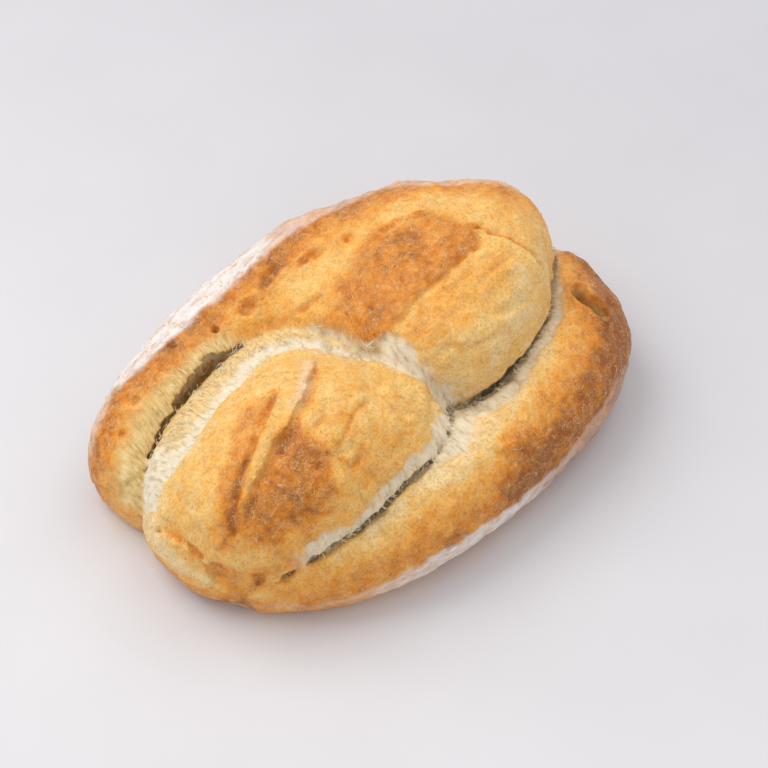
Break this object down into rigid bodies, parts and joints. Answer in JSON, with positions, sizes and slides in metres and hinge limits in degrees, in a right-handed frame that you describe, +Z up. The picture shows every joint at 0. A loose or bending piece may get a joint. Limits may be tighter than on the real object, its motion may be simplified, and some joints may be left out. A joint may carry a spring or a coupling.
{
  "type": "burst oval white bread loaf",
  "caption": "Whole oval loaf of crusty white bread that burst open along one side in the oven, with a torn rim, two domes and a flat base.",
  "frame": {"origin": "middle of the loaf's outline, on the flat base it rests on", "axes": "+X along the loaf to the far dome, +Y to the side of the tall torn rim, +Z up"},
  "size_m": [0.2396, 0.1712, 0.0861],
  "materials": {
    "crust": "dry baked crust, golden brown with pale torn crumb and flour"
  },
  "bodies": {
    "root": {"loaf": "crust"}
  },
  "joints": []
}
